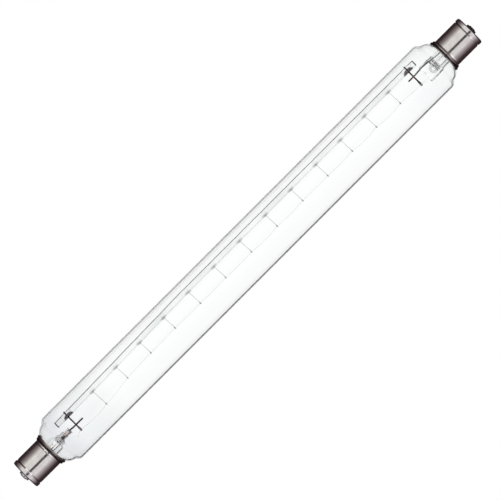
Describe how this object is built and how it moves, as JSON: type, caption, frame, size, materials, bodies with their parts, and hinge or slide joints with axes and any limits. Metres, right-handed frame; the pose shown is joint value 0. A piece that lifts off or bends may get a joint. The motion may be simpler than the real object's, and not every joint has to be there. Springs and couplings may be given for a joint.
{
  "type": "tubular light bulb",
  "caption": "Clear tubular incandescent striplight lamp with a metal cap and contact at each end and a coiled filament hung from a glass rod on wire hooks.",
  "frame": {"origin": "middle of the lamp, on the axis of its tube", "axes": "+X along the lamp towards its right-hand cap, +Y from the axis towards the support rod, +Z towards the viewer of the picture"},
  "size_m": [0.284, 0.025, 0.025],
  "materials": {
    "envelope_glass": "clear soda-lime glass, fire polished",
    "rod_glass": "clear solid glass rod with smoky beads",
    "stem_glass": "clear lead glass",
    "nickel_plate": "nickel-plated sheet, slightly tarnished",
    "cement": "baked capping cement",
    "insulator_glass": "moulded black glass",
    "contact_metal": "tinned contact plate",
    "solder": "dull solder",
    "lead_wire": "oxidised nickel-iron wire",
    "seal_copper": "copper-sheathed seal wire",
    "outer_copper": "bare copper wire",
    "hook_wire": "fine molybdenum wire",
    "tungsten": "fine drawn tungsten coil"
  },
  "bodies": {
    "root": {"cap_cement_left": "cement", "cap_cement_right": "cement", "cap_insulator_left": "insulator_glass", "cap_insulator_right": "insulator_glass", "cap_shell_left": "nickel_plate", "cap_shell_right": "nickel_plate", "contact_left": "contact_metal", "contact_right": "contact_metal", "cross_wire_left": "lead_wire", "cross_wire_right": "lead_wire", "filament": "tungsten", "glass_envelope": "envelope_glass", "inner_lead_left": "lead_wire", "inner_lead_right": "lead_wire", "outer_lead_left": "outer_copper", "outer_lead_right": "outer_copper", "seal_wire_left": "seal_copper", "seal_wire_right": "seal_copper", "solder_left": "solder", "solder_right": "solder", "stem_left": "stem_glass", "stem_right": "stem_glass", "support_hook_01": "hook_wire", "support_hook_02": "hook_wire", "support_hook_03": "hook_wire", "support_hook_04": "hook_wire", "support_hook_05": "hook_wire", "support_hook_06": "hook_wire", "support_hook_07": "hook_wire", "support_hook_08": "hook_wire", "support_hook_09": "hook_wire", "support_hook_10": "hook_wire", "support_hook_11": "hook_wire", "support_hook_12": "hook_wire", "support_hook_13": "hook_wire", "support_rod": "rod_glass"}
  },
  "joints": []
}
